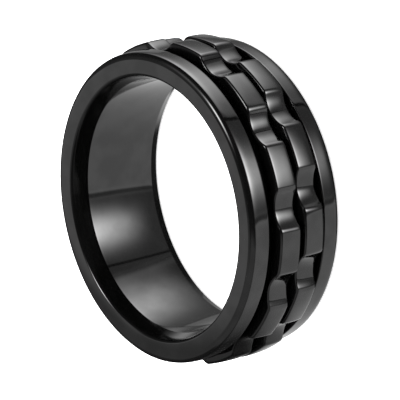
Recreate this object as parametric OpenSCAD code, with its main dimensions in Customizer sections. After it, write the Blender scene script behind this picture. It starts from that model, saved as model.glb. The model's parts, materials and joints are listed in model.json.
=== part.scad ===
// Spinner ring: one channelled base band with two loose toothed bands
// that turn freely in its channel. The ring lies on its lower face.

/* [Base band] */
// Width of the ring along its axis
ring_width = 8; // [6:0.1:12]
// Diameter of the finger bore
bore_d = 18.2; // [15:0.1:22]
// Wall between the finger bore and the floor of the channel
channel_wall = 1.1; // [0.8:0.05:2]
// Height of the two rims over the floor of the channel
rim_height = 1.1; // [0.7:0.05:1.6]
// Width of each rim along the axis
rim_width = 1.5; // [1:0.05:2]

/* [Edges of the base band] */
// Radial size of the bevel at each mouth of the finger bore
mouth_bevel = 0.85; // [0.2:0.05:1]
// Depth of that bevel along the axis
mouth_depth = 0.9; // [0.2:0.05:1.2]
// Radial width of the rounded shoulder between each face and its rim
shoulder_width = 0.5; // [0.3:0.05:0.7]
// Drop of the shoulder, from the face to the crisp edge of the rim
shoulder_drop = 0.25; // [0.1:0.05:0.3]

/* [Toothed bands] */
// Number of teeth on each band
teeth = 12; // [8:1:16]
// Height of a tooth over the rims
tooth_rise = 0.55; // [0.2:0.05:0.8]
// Depth of a valley under the top of the teeth
valley_depth = 0.75; // [0.3:0.05:0.9]
// Angle that one valley takes of the circle
valley_angle = 15.4; // [10:0.1:18]
// Radius of the rounded floor of a valley
valley_round = 0.8; // [0.4:0.05:1.2]
// Radius of the rounding along the sides of the teeth
tooth_round = 0.2; // [0.1:0.05:0.3]
// Direction of the first valley of the upper band, in degrees
upper_turn = -2.6; // [-15:0.1:15]
// Direction of the first valley of the lower band, in degrees
lower_turn = 3; // [-15:0.1:15]

/* [Clearances] */
// Radial running clearance between each band and the channel floor
running_clearance = 0.06; // [0.02:0.01:0.1]
// Gap between the upper rim and the upper band
upper_gap = 0.7; // [0.2:0.05:0.8]
// Gap between the two bands
middle_gap = 0.4; // [0.1:0.05:0.6]
// Gap between the lower band and the lower rim
lower_gap = 0.35; // [0.1:0.05:0.6]

/* [Hidden] */
$fn = 96;

// Radii of the base band
bore_r = bore_d / 2;
floor_r = bore_r + channel_wall;
rim_r = floor_r + rim_height;

// Heights along the axis, from the lower face
channel_width = ring_width - 2 * rim_width;
band_width = (channel_width - upper_gap - middle_gap - lower_gap) / 2;
lower_band_z = rim_width + lower_gap;
upper_band_z = lower_band_z + band_width + middle_gap;

// Radius of the shoulder's arc, which is tangent to the face
shoulder_r = (pow(shoulder_width, 2) + pow(shoulder_drop, 2)) / (2 * shoulder_drop);

// Radii of the toothed bands
band_bore_r = floor_r + running_clearance;
tooth_r = rim_r + tooth_rise;
valley_r = tooth_r - valley_depth;

// How far a cutter reaches past what it cuts
overcut = 1;

// Notch that rounds the upper right corner of a section. The arc of radius r
// starts on the upper side, tangent to it, and ends drop lower at the corner's
// own x, after a width of run.
module corner_cut(r, run, drop) {
    difference() {
        translate([-run, -drop])
            square([run + overcut, drop + overcut]);
        translate([-run, -r])
            circle(r);
    }
}

// Triangle that bevels one mouth of the bore, drawn for the lower mouth
module mouth_cut() {
    slope = mouth_bevel / mouth_depth;
    polygon([
        [bore_r - overcut, -overcut],
        [bore_r + mouth_bevel + overcut * slope, -overcut],
        [bore_r, mouth_depth],
        [bore_r - overcut, mouth_depth]
    ]);
}

// Notch that leaves the rounded shoulder, with the rim's corner at the origin
module shoulder_cut() {
    corner_cut(shoulder_r, shoulder_width, shoulder_drop);
}

// Half section of the base band, radius along x and height along y
module base_section() {
    difference() {
        translate([bore_r, 0])
            square([rim_r - bore_r, ring_width]);
        translate([floor_r, rim_width])
            square([rim_height + overcut, channel_width]);
        mouth_cut();
        translate([0, ring_width])
            mirror([0, 1])
                mouth_cut();
        translate([rim_r, ring_width])
            shoulder_cut();
        translate([rim_r, 0])
            mirror([0, 1])
                shoulder_cut();
    }
}

module base_band() {
    color([0.05, 0.05, 0.055])
        rotate_extrude()
            base_section();
}

// Notch that rounds one side of the teeth, with their corner at the origin
module tooth_corner_cut() {
    corner_cut(tooth_round, tooth_round, tooth_round);
}

// Half section of a toothed band before its valleys are cut
module band_section() {
    difference() {
        translate([band_bore_r, 0])
            square([tooth_r - band_bore_r, band_width]);
        translate([tooth_r, band_width])
            tooth_corner_cut();
        translate([tooth_r, 0])
            mirror([0, 1])
                tooth_corner_cut();
    }
}

// Outline of one valley pointing along x: two straight flanks that meet the
// tooth tops at the valley's half angle and touch its rounded floor
module valley_outline() {
    half = valley_angle / 2;
    centre_x = valley_r + valley_round;
    top = [tooth_r * cos(half), tooth_r * sin(half)];
    reach = norm(top - [centre_x, 0]);
    lean = atan2(top.y, top.x - centre_x);
    touch_angle = lean + acos(valley_round / reach);
    touch = [
        centre_x + valley_round * cos(touch_angle),
        valley_round * sin(touch_angle)
    ];
    flank = (top - touch) / norm(top - touch);
    past = top + flank * overcut;
    translate([centre_x, 0])
        circle(valley_round);
    polygon([
        touch,
        past,
        [past.x, -past.y],
        [touch.x, -touch.y]
    ]);
}

// One toothed band with its lower side at height z
module toothed_band(z, turn) {
    translate([0, 0, z])
        difference() {
            rotate_extrude()
                band_section();
            for (i = [0 : teeth - 1])
                rotate([0, 0, turn + i * 360 / teeth])
                    translate([0, 0, -overcut])
                        linear_extrude(band_width + 2 * overcut)
                            valley_outline();
        }
}

module upper_spinner() {
    color([0.09, 0.09, 0.1])
        toothed_band(upper_band_z, upper_turn);
}

module lower_spinner() {
    color([0.07, 0.07, 0.08])
        toothed_band(lower_band_z, lower_turn);
}

base_band();
upper_spinner();
lower_spinner();
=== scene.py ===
"""A spinner ring: a black base band with two toothed bands that turn in its channel.

Every length is in metres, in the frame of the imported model: the ring lies on the
floor with its axis along Z, and its centre is over the origin.
"""

import json
import math

import bmesh
import bpy
from bpy.props import FloatProperty, FloatVectorProperty, IntProperty, PointerProperty
from mathutils import Matrix, Vector


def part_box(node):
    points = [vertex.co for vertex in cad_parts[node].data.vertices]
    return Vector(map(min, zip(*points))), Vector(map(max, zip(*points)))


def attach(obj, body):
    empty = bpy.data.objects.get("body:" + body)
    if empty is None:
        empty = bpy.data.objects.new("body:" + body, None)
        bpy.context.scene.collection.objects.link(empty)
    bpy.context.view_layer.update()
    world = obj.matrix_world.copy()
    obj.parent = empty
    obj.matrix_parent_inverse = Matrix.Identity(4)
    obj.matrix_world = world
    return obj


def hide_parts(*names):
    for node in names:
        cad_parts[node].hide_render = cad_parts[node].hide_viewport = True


bl_info = {
    "name": "Spinner ring",
    "version": (1, 0, 0),
    "blender": (4, 5, 0),
    "location": "3D View > Sidebar > Spinner ring",
    "description": "Models a spinner ring with two toothed bands and its studio",
    "category": "Object",
}

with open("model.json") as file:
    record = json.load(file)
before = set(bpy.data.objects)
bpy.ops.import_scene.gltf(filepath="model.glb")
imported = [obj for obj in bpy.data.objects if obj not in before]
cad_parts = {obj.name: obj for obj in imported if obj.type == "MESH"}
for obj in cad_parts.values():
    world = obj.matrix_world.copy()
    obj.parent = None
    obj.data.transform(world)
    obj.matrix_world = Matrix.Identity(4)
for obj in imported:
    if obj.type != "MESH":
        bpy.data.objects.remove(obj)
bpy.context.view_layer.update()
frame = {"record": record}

MM = 0.001

# How near two points are when they are merged, and the angle up to which faces are smooth
WELD = 0.0005 * MM
SMOOTH_ANGLE = math.radians(32)

# Small rounds at the bore's ends and at the faces' inner edges
BORE_END_ROUND = 0.05 * MM
FACE_EDGE_ROUND = 0.04 * MM

# The stage, in metres. The floor lies a hair under the face that the ring rests on.
FLOOR_RADIUS = 1.5
FLOOR_DROP = 0.01 * MM
TENT_RADIUS = 0.6
LAMP_HEIGHT = 0.5
LAMP_WIDTH = 0.5

# The frame's own sizes, which the pieces follow. No tooth's middle points along X, so the
# upper band's box makes the teeth 0.05 mm lower than those of the solid.
BASE_LOW, BASE_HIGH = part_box("base_band")
RING_WIDTH = BASE_HIGH.z - BASE_LOW.z
RIM_RADIUS = BASE_HIGH.x
TOOTH_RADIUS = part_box("upper_spinner")[1].x
BORE_RADIUS = next(
    mount["dims"]["r_mm"] * MM
    for mount in frame["record"]["mounts"]
    if mount["name"] == "finger_bore"
)


class BodySizes(bpy.types.PropertyGroup):
    """Sizes of the ring body that the frame's boxes don't give."""

    rim_width: FloatProperty(
        name="Rim width", description="Width of each rim along the axis",
        default=1.5 * MM, unit="LENGTH")
    channel_wall: FloatProperty(
        name="Channel wall", description="Metal between the bore and the channel floor",
        default=1.1 * MM, unit="LENGTH")
    mouth_width: FloatProperty(
        name="Mouth width", description="From the bore's radius out to each face's inner edge",
        default=0.68 * MM, unit="LENGTH")
    mouth_crease: FloatProperty(
        name="Mouth crease", description="Turn of the crease at each face's inner edge",
        default=math.radians(16), unit="ROTATION")
    mouth_depths: FloatVectorProperty(
        name="Mouth depths", description="Depth of the upper and of the lower mouth",
        size=2, default=(1.25 * MM, 0.8 * MM), unit="LENGTH")
    comfort_radii: FloatVectorProperty(
        name="Comfort radii", description="Radius of the bore's faint bulge, upper and lower half",
        size=2, default=(34 * MM, 24 * MM), unit="LENGTH")
    shoulder_width: FloatProperty(
        name="Shoulder width", description="Radial width from the face to the rim",
        default=0.57 * MM, unit="LENGTH")
    shoulder_radius: FloatProperty(
        name="Shoulder radius", description="Radius of the rounded shoulder",
        default=0.614 * MM, unit="LENGTH")
    rim_soft: FloatProperty(
        name="Rim softening", description="How far polishing has lowered each rim's crest",
        default=0.049 * MM, unit="LENGTH")
    rim_soft_reach: FloatProperty(
        name="Rim softening reach", description="How far from the crest that fades",
        default=0.14 * MM, unit="LENGTH")
    rim_lean: FloatProperty(
        name="Rim lean", description="Fall of each rim towards its face",
        default=math.radians(0.8), unit="ROTATION")
    edge_round: FloatProperty(
        name="Edge round", description="Radius of the edges between the rims and the channel",
        default=0.08 * MM, unit="LENGTH")
    mouth_round: FloatProperty(
        name="Mouth round", description="Radius of each mouth from its crease to its straight part",
        default=0.33 * MM, unit="LENGTH")
    turns: IntProperty(
        name="Steps round", description="Flat steps round the ring", default=288)


class BandSizes(bpy.types.PropertyGroup):
    """Sizes of the toothed bands that the frame's boxes don't give."""

    teeth: IntProperty(name="Teeth", description="Teeth on each band", default=12)
    clearance: FloatProperty(
        name="Clearance", description="Radial clearance on the channel floor",
        default=0.06 * MM, unit="LENGTH")
    valley_depth: FloatProperty(
        name="Valley depth", description="Depth of a valley under the tooth tops",
        default=0.69 * MM, unit="LENGTH")
    valley_angle: FloatProperty(
        name="Valley angle", description="Angle that one valley takes of the circle",
        default=math.radians(16.2), unit="ROTATION")
    flank_tilt: FloatProperty(
        name="Flank tilt", description="Steepest tilt of a valley's hollow flank",
        default=math.radians(37), unit="ROTATION")
    tooth_round: FloatProperty(
        name="Tooth round", description="Radius between a tooth's top and its flanks",
        default=0.55 * MM, unit="LENGTH")
    side_round: FloatProperty(
        name="Side round", description="Radius of the polished side edges of the teeth",
        default=0.15 * MM, unit="LENGTH")
    upper_dome: FloatVectorProperty(
        name="Upper dome", description="Radius of the upper band's dome, and its crown's height",
        size=2, default=(33 * MM, 4.2 * MM), unit="LENGTH")
    lower_dome: FloatVectorProperty(
        name="Lower dome", description="Radius of the lower band's dome, and its crown's height",
        size=2, default=(9 * MM, 3.05 * MM), unit="LENGTH")
    side_fall: FloatProperty(
        name="Side fall", description="How far each band falls more towards its sides",
        default=0.025 * MM, unit="LENGTH")
    upper_turn: FloatProperty(
        name="Upper turn", description="Direction of the upper band's first valley",
        default=math.radians(-2.6), unit="ROTATION")
    lower_turn: FloatProperty(
        name="Lower turn", description="Direction of the lower band's first valley",
        default=math.radians(3.0), unit="ROTATION")


class Finishes(bpy.types.PropertyGroup):
    """Colours and gloss of the plated steel."""

    base_colour: FloatVectorProperty(
        name="Body colour", description="Colour of the body's black plating",
        default=(0.065, 0.065, 0.065), subtype="COLOR")
    band_colour: FloatVectorProperty(
        name="Band colour", description="Colour of the toothed bands' black plating",
        default=(0.067, 0.067, 0.067), subtype="COLOR")
    gloss: FloatProperty(
        name="Roughness", description="Roughness of the polished plating",
        default=0.07, subtype="FACTOR")


class StageLook(bpy.types.PropertyGroup):
    """Colours and strengths of the floor and the light."""

    floor_colour: FloatVectorProperty(
        name="Floor colour", description="Colour of the floor",
        default=(0.9, 0.9, 0.9), subtype="COLOR")
    floor_glow: FloatProperty(
        name="Floor glow", description="Strength of the light through the floor", default=0.6)
    sky: FloatProperty(
        name="Sky", description="Strength of the even light over the floor", default=1.2)
    lamp_power: FloatProperty(
        name="Lamp power", description="Power of the lamp over the floor",
        default=6.0, unit="POWER")
    tent: FloatProperty(
        name="Tent", description="Strength of all that the polished metal reflects",
        default=1.0)


# Selecting and drawing


def leave_edit_mode():
    if bpy.context.object and bpy.context.object.mode != "OBJECT":
        bpy.ops.object.mode_set(mode="OBJECT")


def deselect_all():
    leave_edit_mode()
    bpy.ops.object.select_all(action="DESELECT")


def select_vertices(piece, wanted):
    """Selects the vertices of a mesh in edit mode for which wanted(co) is true."""
    bpy.ops.mesh.select_mode(type="VERT")
    mesh = bmesh.from_edit_mesh(piece.data)
    for vertex in mesh.verts:
        vertex.select_set(wanted(vertex.co))
    mesh.select_flush_mode()
    bmesh.update_edit_mesh(piece.data)


def draw_wire(name, points):
    """A chain of edges through the points, left open in edit mode with its end selected."""
    deselect_all()
    bpy.ops.mesh.primitive_plane_add(size=MM)
    piece = bpy.context.object
    piece.name = name
    piece.data.name = name
    bpy.ops.object.mode_set(mode="EDIT")
    bpy.ops.mesh.select_mode(type="VERT")
    bpy.ops.mesh.select_all(action="SELECT")
    bpy.ops.mesh.merge(type="CENTER")
    bpy.ops.transform.translate(value=points[0])
    for here, there in zip(points, points[1:]):
        bpy.ops.mesh.extrude_vertices_move(TRANSFORM_OT_translate={"value": there - here})
    return piece


def finish_mesh(piece):
    """Closes the seams, turns the faces outwards and shades the mesh smooth up to its creases."""
    bpy.ops.mesh.select_all(action="SELECT")
    bpy.ops.mesh.remove_doubles(threshold=WELD)
    bpy.ops.mesh.normals_make_consistent(inside=False)
    bpy.ops.object.mode_set(mode="OBJECT")
    bpy.ops.object.shade_smooth_by_angle(angle=SMOOTH_ANGLE)
    bpy.ops.object.modifier_add(type="WEIGHTED_NORMAL")
    weigh = piece.modifiers[-1]
    weigh.keep_sharp = True
    bpy.ops.object.modifier_apply(modifier=weigh.name)


# Outlines


def arc(centre, radius, start, end, steps):
    """Points (x, y) along an arc, both ends included. Angles are in radians."""
    angles = [start + (end - start) * i / steps for i in range(steps + 1)]
    return [
        (centre[0] + radius * math.cos(a), centre[1] + radius * math.sin(a)) for a in angles
    ]


def rounded(corner, before, after, radius, steps):
    """Points of the arc that rounds a corner between the points before and after it."""
    corner, before, after = (Vector(p) for p in (corner, before, after))
    to_before = (before - corner).normalized()
    to_after = (after - corner).normalized()
    half = to_before.angle(to_after) / 2
    reach = radius / math.tan(half)
    centre = corner + (to_before + to_after).normalized() * radius / math.sin(half)
    first = corner + to_before * reach - centre
    last = corner + to_after * reach - centre
    turn = math.atan2(first.cross(last), first.dot(last))
    begin = math.atan2(first.y, first.x)
    return arc(centre, radius, begin, begin + turn, steps)


def mouth_arc(face_inner, bore_end, sizes, steps):
    """The round of a mouth, from its straight part up to the face's inner edge.

    The straight part runs from the bore's end and touches the round. The turn at which it
    does is found by aiming at the bore's end again and again.
    """
    radius, crease = sizes.mouth_round, sizes.mouth_crease
    centre = (face_inner[0] + radius * math.sin(crease),
              face_inner[1] - radius * math.cos(crease))
    turn, tries = math.radians(60), 20
    for _ in range(tries):
        low = (centre[0] - radius * math.sin(turn), centre[1] + radius * math.cos(turn))
        turn = math.atan2(low[1] - bore_end[1], low[0] - bore_end[0])
    return arc(centre, radius, math.pi / 2 + turn, math.pi / 2 + crease, steps)


def half_body_section(mouth_depth, comfort_radius, sizes):
    """The body's section from the middle of its bore up and out to the middle of its channel.

    Each point is a radius and a height over the middle plane.
    """
    top = RING_WIDTH / 2
    floor_radius = BORE_RADIUS + sizes.channel_wall
    rim_low = top - sizes.rim_width
    bore_steps, mouth_steps, shoulder_steps, rim_steps = 16, 14, 12, 14
    face_inner = (BORE_RADIUS + sizes.mouth_width, top)
    face_outer = (RIM_RADIUS - sizes.shoulder_width, top)

    bore_half = top - mouth_depth
    heights = [bore_half * i / bore_steps for i in range(bore_steps + 1)]
    bore = [(BORE_RADIUS + h ** 2 / (2 * comfort_radius), h) for h in heights]
    mouth = mouth_arc(face_inner, bore[-1], sizes, mouth_steps)

    crest_radius = RIM_RADIUS - sizes.rim_soft
    lean = math.asin((crest_radius - face_outer[0]) / sizes.shoulder_radius)
    shoulder = arc((face_outer[0], top - sizes.shoulder_radius), sizes.shoulder_radius,
                   math.pi / 2, math.pi / 2 - lean, shoulder_steps)
    crest = shoulder[-1]
    rim_height = crest[1] - rim_low
    depths = [rim_height * (i / rim_steps) ** 2 for i in range(rim_steps)]
    rim = [(RIM_RADIUS - (rim_height - depth) * math.tan(sizes.rim_lean)
            - sizes.rim_soft * math.exp(-depth / sizes.rim_soft_reach), crest[1] - depth)
           for depth in depths]
    rim_corner = (RIM_RADIUS, rim_low)
    floor_corner = (floor_radius, rim_low)
    return (
        bore[:-1]
        + rounded(bore[-1], bore[-2], mouth[0], BORE_END_ROUND, 3)
        + mouth[:-1]
        + rounded(face_inner, mouth[-2], face_outer, FACE_EDGE_ROUND, 4)
        + shoulder[:-1]
        + rim[1:]
        + rounded(rim_corner, rim[-1], floor_corner, sizes.edge_round, 5)
        + [floor_corner, (floor_radius, 0)]
    )


def half_valley(sizes):
    """Half a valley and half a tooth beside it, from the valley's bottom to the tooth's middle.

    The valley points along x. Its bottom is a faint crease, its flank is hollow and meets
    the tooth top in a wide round.
    """
    half = sizes.valley_angle / 2
    bottom = TOOTH_RADIUS - sizes.valley_depth
    round_steps, flank_steps, top_steps = 8, 10, 4
    round_centre = Vector((math.cos(half), math.sin(half))) * (
        TOOTH_RADIUS - sizes.tooth_round)
    crease = arc(round_centre, sizes.tooth_round, -sizes.flank_tilt, half, round_steps)
    flank_x, flank_y = crease[0]
    bottom_tilt = 2 * math.atan2(flank_x - bottom, flank_y) - sizes.flank_tilt
    hollow = flank_y / (math.sin(sizes.flank_tilt) - math.sin(bottom_tilt))
    hollow_centre = (bottom + hollow * math.cos(bottom_tilt), -hollow * math.sin(bottom_tilt))
    flank = arc(hollow_centre, hollow, math.pi - bottom_tilt, math.pi - sizes.flank_tilt,
                flank_steps)
    top = arc((0, 0), TOOTH_RADIUS, half, math.pi / sizes.teeth, top_steps)
    return flank + crease[1:] + top[1:]


def tooth_outline(sizes):
    """One pitch of a toothed band's outline, from the middle of one tooth to the next."""
    right = half_valley(sizes)
    left = [(x, -y) for x, y in reversed(right)]
    return left + right[1:]


def band_rings(low, high, dome, sizes):
    """The fall of a band's outline from the tooth radius at each height across its width."""
    middle, half = (low + high) / 2, (high - low) / 2
    side_steps, across_steps = 6, 12
    shares = [i / side_steps for i in range(side_steps)]
    rounds = [(sizes.side_round * (1 - math.sin(s * math.pi / 2)),
               sizes.side_round * (1 - math.cos(s * math.pi / 2))) for s in shares]
    flat = high - low - 2 * sizes.side_round
    rings = [(fall, low + rise) for fall, rise in rounds]
    rings += [(0, low + sizes.side_round + flat * i / across_steps)
              for i in range(across_steps + 1)]
    rings += [(fall, high - rise) for fall, rise in reversed(rounds)]
    return [
        (fall + (z - dome[1]) ** 2 / (2 * dome[0])
         + sizes.side_fall * ((z - middle) / half) ** 4, z)
        for fall, z in rings
    ]


# Pieces


def model_body(sizes):
    """The ring body: its section is drawn as two halves and spun round the axis."""
    middle = RING_WIDTH / 2
    upper = half_body_section(sizes.mouth_depths[0], sizes.comfort_radii[0], sizes)
    lower = half_body_section(sizes.mouth_depths[1], sizes.comfort_radii[1], sizes)
    # The lower half runs back to the bore, without the two points that the halves share
    section = upper + [(r, -h) for r, h in reversed(lower)][1:-1]
    points = [Vector((r, 0, middle + h)) for r, h in section]
    piece = draw_wire("ring_body", points + points[:1])
    bpy.ops.mesh.select_all(action="SELECT")
    bpy.ops.mesh.remove_doubles(threshold=WELD)
    bpy.ops.mesh.spin(
        steps=sizes.turns, angle=math.tau, center=(0, 0, 0), axis=(0, 0, 1))
    finish_mesh(piece)
    return piece


def model_band(name, node, turn, dome, body, sizes):
    """A toothed band in the place of its node: one pitch is drawn, copied round and built up.

    The outline is raised ring by ring and scaled to each ring's fall. Both sides are then
    drawn in to a circle, the bore's edge, and the two circles are bridged.
    """
    low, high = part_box(node)
    bore_radius = BORE_RADIUS + body.channel_wall + sizes.clearance
    level_within, bore_within = 0.001 * MM, 0.01 * MM
    outline = [Vector((x, y, low.z)) for x, y in tooth_outline(sizes)]
    piece = draw_wire(name, outline)
    bpy.ops.mesh.select_all(action="SELECT")
    bpy.ops.mesh.spin(
        steps=sizes.teeth, angle=math.tau, center=(0, 0, 0), axis=(0, 0, 1), dupli=True)
    bpy.ops.mesh.select_all(action="SELECT")
    bpy.ops.mesh.remove_doubles(threshold=WELD)
    scale, height = 1.0, low.z
    for i, (fall, z) in enumerate(band_rings(low.z, high.z, dome, sizes)):
        if i:
            bpy.ops.mesh.extrude_edges_move(
                TRANSFORM_OT_translate={"value": (0, 0, z - height)})
        wanted = 1 - fall / TOOTH_RADIUS
        bpy.ops.transform.resize(
            value=(wanted / scale, wanted / scale, 1), center_override=(0, 0, z))
        scale, height = wanted, z
    for z in (low.z, high.z):
        select_vertices(piece, lambda co, z=z: abs(co.z - z) < level_within)
        bpy.ops.mesh.extrude_edges_move(TRANSFORM_OT_translate={"value": (0, 0, 0)})
        bpy.ops.transform.tosphere(value=1.0, center_override=(0, 0, z))
        mesh = bmesh.from_edit_mesh(piece.data)
        picked = [v.co.to_2d().length for v in mesh.verts if v.select]
        shrink = bore_radius / (sum(picked) / len(picked))
        bpy.ops.transform.resize(value=(shrink, shrink, 1), center_override=(0, 0, z))
    select_vertices(piece, lambda co: co.to_2d().length < bore_radius + bore_within)
    bpy.ops.mesh.bridge_edge_loops()
    bpy.ops.mesh.select_all(action="SELECT")
    bpy.ops.transform.rotate(value=-turn, orient_axis="Z", center_override=(0, 0, 0))
    finish_mesh(piece)
    return piece


# Materials


class Wire:
    """An output of a node, with Python's operators making the Math nodes."""

    def __init__(self, shader, socket):
        self.shader = shader
        self.socket = socket

    def math(self, operation, *others):
        return self.shader.node("ShaderNodeMath", {"operation": operation}, self, *others)

    def __add__(self, other):
        return self.math("ADD", other)

    __radd__ = __add__

    def __mul__(self, other):
        return self.math("MULTIPLY", other)

    __rmul__ = __mul__

    def __sub__(self, other):
        return self.math("SUBTRACT", other)

    def __rsub__(self, other):
        return self.shader.node("ShaderNodeMath", {"operation": "SUBTRACT"}, other, self)

    def __truediv__(self, other):
        return self.math("DIVIDE", other)


class Shader:
    """A new material's node tree."""

    def __init__(self, name):
        self.material = bpy.data.materials.new(name)
        self.material.use_nodes = True
        self.tree = self.material.node_tree
        self.surface = self.tree.nodes["Principled BSDF"]

    def node(self, kind, settings, *values, sockets=None, output=0):
        """A node of a kind with its settings and the values of its inputs, as a wire.

        The values go to the sockets named or numbered, or else to the first ones in order.
        """
        made = self.tree.nodes.new(kind)
        for setting, value in settings.items():
            setattr(made, setting, value)
        for socket, value in zip(sockets or range(len(values)), values):
            self.join(value, made.inputs[socket])
        return Wire(self, made.outputs[output])

    def join(self, value, socket):
        """Links a wire to a socket, or sets the socket to a plain value."""
        if isinstance(value, Wire):
            self.tree.links.new(value.socket, socket)
        else:
            socket.default_value = value

    def place(self):
        """The three object coordinates as wires, in millimetres."""
        coordinates = self.node("ShaderNodeTexCoord", {}, output="Object")
        split = self.node("ShaderNodeSeparateXYZ", {}, coordinates).socket.node
        return [Wire(self, out) * (1 / MM) for out in split.outputs]

    def point(self, x, y, z):
        return self.node("ShaderNodeCombineXYZ", {}, x, y, z)

    def noise(self, point, scale, detail=3.0):
        return self.node(
            "ShaderNodeTexNoise", {"noise_dimensions": "3D"}, point, scale, detail,
            sockets=("Vector", "Scale", "Detail"))

    def ramp(self, value, low, high, to_low, to_high):
        """The value from low to high carried smoothly to the range to_low to to_high."""
        return self.node(
            "ShaderNodeMapRange", {"interpolation_type": "SMOOTHSTEP"},
            value, low, high, to_low, to_high)

    def mix(self, share, first, second):
        """Two colours mixed. The numbers are those of the node's colour sockets."""
        return self.node(
            "ShaderNodeMix", {"data_type": "RGBA"}, share, first, second,
            sockets=(0, 6, 7), output=2)

    def bump(self, height, strength, distance):
        """The normal of a surface with bumps, for a material's Normal socket."""
        return self.node(
            "ShaderNodeBump", {}, strength, distance, height,
            sockets=("Strength", "Distance", "Height"))


def black_plating(name, colour, gloss):
    """Polished steel with black plating: faint polishing lines round the axis and a soft bloom.

    The lines are sixty to the millimetre across and change slowly along their length. The
    colour and the roughness vary with the noise about what the finishes give.
    """
    lines_per_mm, change_per_mm, bloom_per_mm = 60, 0.4, 0.55
    metal, line_relief = 0.985, 0.02
    shader = Shader(name)
    x, y, z = shader.place()
    radius = (x * x + y * y).math("SQRT")
    lines = shader.noise(
        shader.point(radius * lines_per_mm, z * lines_per_mm, x * change_per_mm), 1.0)
    bloom = shader.noise(shader.point(x, y, z), bloom_per_mm)
    dark = [c * 0.9 for c in colour] + [1]
    light = [c * 1.08 for c in colour] + [1]
    surface = shader.surface
    shader.join(shader.mix(shader.ramp(bloom, 0.35, 0.65, 0, 1), dark, light),
                surface.inputs["Base Color"])
    shader.join(metal, surface.inputs["Metallic"])
    rough = gloss * 0.75 + lines * (gloss * 0.3) + bloom * (gloss * 0.2)
    shader.join(rough, surface.inputs["Roughness"])
    shader.join(shader.bump(lines, line_relief, 0.002 * MM), surface.inputs["Normal"])
    return shader.material


def dress(piece, material, body, node):
    """Gives a finished piece its material and its place in the frame."""
    piece.data.materials.clear()
    piece.data.materials.append(material)
    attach(piece, body)
    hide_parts(node)


# Stage


def emission(shader, strength):
    """Makes a shader's surface give light alone, at a strength that may vary over it."""
    surface = shader.surface
    shader.join((0, 0, 0, 1), surface.inputs["Base Color"])
    shader.join(0.0, surface.inputs["Specular IOR Level"])
    shader.join(strength, surface.inputs["Emission Color"])
    shader.join(1.0, surface.inputs["Emission Strength"])
    shader.material.cycles.emission_sampling = "NONE"


def reflected_only(thing):
    """Leaves a part of the stage to the metal's reflections alone."""
    thing.visible_camera = False
    thing.visible_diffuse = False
    thing.visible_shadow = False


def tent_material(strength):
    """What the polished metal reflects, by direction: azimuth round the ring and elevation.

    All angles are in degrees, and the camera is at azimuth 7. Below the ring, from azimuth
    -17 round to -180, is a white sweep, dark low down behind the ring. One soft box is
    brightest at azimuth 16 and one at 97. Faint light fills the gaps between these, and
    straight below it is dark. Higher up there are only a small lamp and a faint haze.
    """
    shader = Shader("light_tent")
    x, y, z = shader.place()
    azimuth = y.math("ARCTAN2", x) * math.degrees(1)
    flat = (x * x + y * y).math("SQRT")
    elevation = z.math("ARCTAN2", flat) * math.degrees(1)
    reach = (x * x + y * y + z * z).math("SQRT")

    def within(angle, low, high, soft):
        """One between two angles and nought outside them, with soft ends."""
        rise = shader.ramp(angle, low - soft / 2, low + soft / 2, 0, 1)
        fall = shader.ramp(angle, high - soft / 2, high + soft / 2, 1, 0)
        return rise * fall

    def lobe(angle, centre, width):
        """A bell curve of an angle about its centre."""
        share = (angle - centre) / width
        return (share * share * -1).math("EXPONENT")

    def spot(to_x, to_y, to_z, width):
        """A round glow about a direction, width degrees in radius."""
        off = 1 - (x * to_x + y * to_y + z * to_z) / reach
        return (off * (-2 / math.radians(width) ** 2)).math("EXPONENT")

    sweep = within(azimuth, -181, -17, 2) * (
        shader.ramp(elevation, -12, 4, 0.88, 0) + shader.ramp(elevation, 8, 40, 0.05, 0.01))
    behind = within(azimuth.math("ABSOLUTE"), 152, 200, 12)
    sweep = sweep * (1 - behind * shader.ramp(elevation, -45, -39, 0.97, 0))
    box_top = shader.ramp(elevation, -8, 2, 1, 0)
    right_box = within(azimuth, -13, 59, 2) * box_top * (
        0.25 + lobe(azimuth, 16.5, 14.2) * shader.ramp(elevation, -50, -10, 0, 12))
    top_box = within(azimuth, 60, 150, 10) * shader.ramp(elevation, -12, 0, 1, 0) * (
        0.15 + lobe(azimuth, 97, 24) * shader.ramp(elevation, -52, -18, 0.1, 6)
        + lobe(azimuth, 63, 6) * 0.3)
    gap = within(azimuth, -19, -11, 4) * box_top * 0.2
    back = within(azimuth, 150, 181, 2) * shader.ramp(elevation, -20, 0, 0.3, 0.02)
    lamp = spot(-0.1, 0.42, 0.902, 6.8) * 16 + spot(-0.4, 0.5, 0.768, 10) * 0.8
    haze = spot(-0.75, 0.1, 0.65, 25) * 0.13
    lit = (sweep + right_box + top_box + gap + back) * shader.ramp(elevation, -64, -56, 0.05, 1)
    emission(shader, (lit + lamp + haze + 0.035) * strength)
    return shader.material


def make_tent(look):
    """A sphere round the whole set, which only reflections see."""
    deselect_all()
    bpy.ops.mesh.primitive_uv_sphere_add(segments=64, ring_count=32, radius=TENT_RADIUS)
    tent = bpy.context.object
    tent.name = "light_tent"
    tent.data.materials.append(tent_material(look.tent))
    reflected_only(tent)


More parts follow.
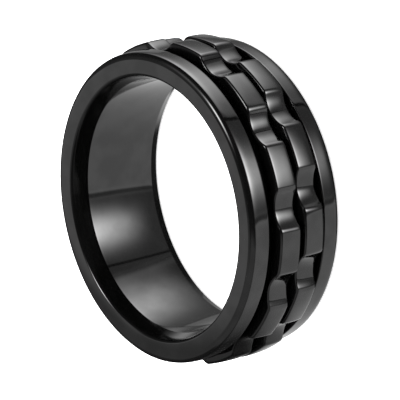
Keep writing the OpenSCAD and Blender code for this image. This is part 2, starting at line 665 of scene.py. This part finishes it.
def make_card(name, centre, turn, size, soft, strength):
    """A card near the ring, in millimetres and degrees. Each side fades over its own width.

    The soft widths are those at low x, high x, low y and high y of the card itself.
    """
    deselect_all()
    bpy.ops.mesh.primitive_plane_add(
        size=MM, location=[c * MM for c in centre], rotation=[math.radians(t) for t in turn])
    card = bpy.context.object
    card.name = name
    bpy.ops.object.mode_set(mode="EDIT")
    bpy.ops.transform.resize(value=(*size, 1), orient_type="LOCAL")
    bpy.ops.object.mode_set(mode="OBJECT")
    shader = Shader(name)
    x, y, _ = shader.place()
    half_x, half_y = size[0] / 2, size[1] / 2
    cover = (
        shader.ramp(x, -half_x, soft[0] - half_x, 0, 1)
        * shader.ramp(x, half_x - soft[1], half_x, 1, 0)
        * shader.ramp(y, -half_y, soft[2] - half_y, 0, 1)
        * shader.ramp(y, half_y - soft[3], half_y, 1, 0))
    emission(shader, (strength, strength, strength, 1))
    shader.join(cover, shader.surface.inputs["Alpha"])
    card.data.materials.append(shader.material)
    reflected_only(card)


def make_cards(look):
    """The cards near the ring, and the dark edge between the tent's two soft boxes."""
    make_card(
        "left_card", centre=(-84.3, 5.6, 44), turn=(0, 0, -14), size=(132, 30),
        soft=(40, 8, 7, 2), strength=0.71 * look.tent)
    make_card(
        "left_dim_card", centre=(-42, -40, 48), turn=(0, 0, 0), size=(90, 80),
        soft=(10, 10, 20, 10), strength=0.3 * look.tent)
    make_card(
        "front_card", centre=(15.4, -16, 10), turn=(0, 0, -35), size=(24.4, 19.5),
        soft=(1.5, 10, 6, 2), strength=0.36 * look.tent)
    make_card(
        "low_card", centre=(-1, -25, 18.1), turn=(0, 0, 0), size=(12, 20),
        soft=(3, 2, 5, 3), strength=0.34 * look.tent)
    make_card(
        "contact_shade", centre=(-0.25, -12.4, 3.6), turn=(90, 0, 0), size=(23.5, 10.2),
        soft=(4, 8, 5.5, 0.8), strength=0.04 * look.tent)
    deselect_all()
    bpy.ops.mesh.primitive_cylinder_add(
        vertices=24, radius=0.85 * MM, depth=70 * MM,
        location=[21.8 * MM, 31.4 * MM, -30 * MM],
        rotation=[math.radians(3.4), math.radians(5.9), 0])
    edge = bpy.context.object
    edge.name = "box_edge"
    shader = Shader("box_edge")
    emission(shader, (0.04, 0.04, 0.04, 1))
    edge.data.materials.append(shader.material)
    reflected_only(edge)


def make_floor(look):
    """A wide pale floor, which the ring lies on. Reflections see the tent in its place."""
    deselect_all()
    bpy.ops.mesh.primitive_circle_add(
        vertices=96, radius=FLOOR_RADIUS, fill_type="NGON", location=(0, 0, -FLOOR_DROP))
    floor = bpy.context.object
    floor.name = "floor"
    shader = Shader("pale_floor")
    shader.join((*look.floor_colour, 1), shader.surface.inputs["Base Color"])
    shader.join(0.9, shader.surface.inputs["Roughness"])
    shader.join((1, 1, 1, 1), shader.surface.inputs["Emission Color"])
    shader.join(look.floor_glow, shader.surface.inputs["Emission Strength"])
    floor.data.materials.append(shader.material)
    floor.visible_glossy = False
    floor.visible_shadow = False


def make_light(look):
    """Even light from all round and one wide lamp overhead, which reflections don't see."""
    world = bpy.data.worlds.new("studio")
    world.use_nodes = True
    background = world.node_tree.nodes["Background"]
    background.inputs["Color"].default_value = (1, 1, 1, 1)
    background.inputs["Strength"].default_value = look.sky
    world.cycles_visibility.glossy = False
    bpy.context.scene.world = world
    deselect_all()
    bpy.ops.object.light_add(type="AREA", location=(0, 0, LAMP_HEIGHT))
    lamp = bpy.context.object
    lamp.name = "overhead_lamp"
    lamp.data.shape = "DISK"
    lamp.data.size = LAMP_WIDTH
    lamp.data.energy = look.lamp_power
    lamp.visible_glossy = False
    lamp.visible_camera = False


def make_camera():
    """A long lens, rolled so that the ring stands in the picture as it does in the photo."""
    target = Vector((2.084, 0.172, 5.234)) * MM
    distance = 285.04 * MM
    azimuth = math.radians(7.448)
    elevation = math.radians(37.053)
    roll = math.radians(-102.24)
    back = Vector((
        math.cos(elevation) * math.cos(azimuth),
        math.cos(elevation) * math.sin(azimuth),
        math.sin(elevation)))
    deselect_all()
    bpy.ops.object.camera_add(location=target + back * distance)
    camera = bpy.context.object
    camera.name = "camera"
    camera.data.sensor_width = 36
    camera.data.lens = 360
    camera.data.clip_start = 0.01
    camera.data.clip_end = 5
    level = back.to_track_quat("Z", "Y").to_matrix()
    camera.rotation_euler = (level @ Matrix.Rotation(roll, 3, "Z")).to_euler()
    bpy.context.scene.camera = camera


# Operators, panel and registration


class RING_OT_body(bpy.types.Operator):
    """Model the ring body and finish it"""

    bl_idname = "ring.body"
    bl_label = "Model the ring body"

    def execute(self, context):
        scene = context.scene
        piece = model_body(scene.ring_body_sizes)
        finish = scene.ring_finishes
        material = black_plating("black_body", finish.base_colour, finish.gloss)
        dress(piece, material, "base", "base_band")
        return {"FINISHED"}


class RING_OT_bands(bpy.types.Operator):
    """Model the two toothed bands and finish them"""

    bl_idname = "ring.bands"
    bl_label = "Model the toothed bands"

    def execute(self, context):
        scene = context.scene
        sizes, finish = scene.ring_band_sizes, scene.ring_finishes
        material = black_plating("black_bands", finish.band_colour, finish.gloss)
        places = {
            "upper": (sizes.upper_turn, sizes.upper_dome),
            "lower": (sizes.lower_turn, sizes.lower_dome),
        }
        for side, (turn, dome) in places.items():
            node = f"{side}_spinner"
            piece = model_band(
                f"{side}_toothed_band", node, turn, dome, scene.ring_body_sizes, sizes)
            dress(piece, material, f"{side}_band", node)
        return {"FINISHED"}


class RING_OT_stage(bpy.types.Operator):
    """Set the floor, the light and the camera"""

    bl_idname = "ring.stage"
    bl_label = "Set the stage"

    def execute(self, context):
        look = context.scene.ring_stage_look
        make_floor(look)
        make_tent(look)
        make_cards(look)
        make_light(look)
        make_camera()
        context.scene.view_settings.view_transform = "Standard"
        return {"FINISHED"}


class RING_PT_panel(bpy.types.Panel):
    """The ring's operators and sizes in the sidebar"""

    bl_label = "Spinner ring"
    bl_space_type = "VIEW_3D"
    bl_region_type = "UI"
    bl_category = "Spinner ring"

    def draw(self, context):
        layout = self.layout
        for operator in (RING_OT_body, RING_OT_bands, RING_OT_stage):
            layout.operator(operator.bl_idname)
        for group in GROUPS:
            settings = getattr(context.scene, group)
            for name in settings.__annotations__:
                layout.prop(settings, name)


GROUPS = {
    "ring_body_sizes": BodySizes,
    "ring_band_sizes": BandSizes,
    "ring_finishes": Finishes,
    "ring_stage_look": StageLook,
}
CLASSES = (*GROUPS.values(), RING_OT_body, RING_OT_bands, RING_OT_stage, RING_PT_panel)


def register():
    for made in CLASSES:
        bpy.utils.register_class(made)
    for name, group in GROUPS.items():
        setattr(bpy.types.Scene, name, PointerProperty(type=group))


def unregister():
    for name in GROUPS:
        delattr(bpy.types.Scene, name)
    for made in reversed(CLASSES):
        bpy.utils.unregister_class(made)


def main():
    register()
    bpy.ops.ring.body()
    bpy.ops.ring.bands()
    bpy.ops.ring.stage()


if __name__ == "__main__":
    main()
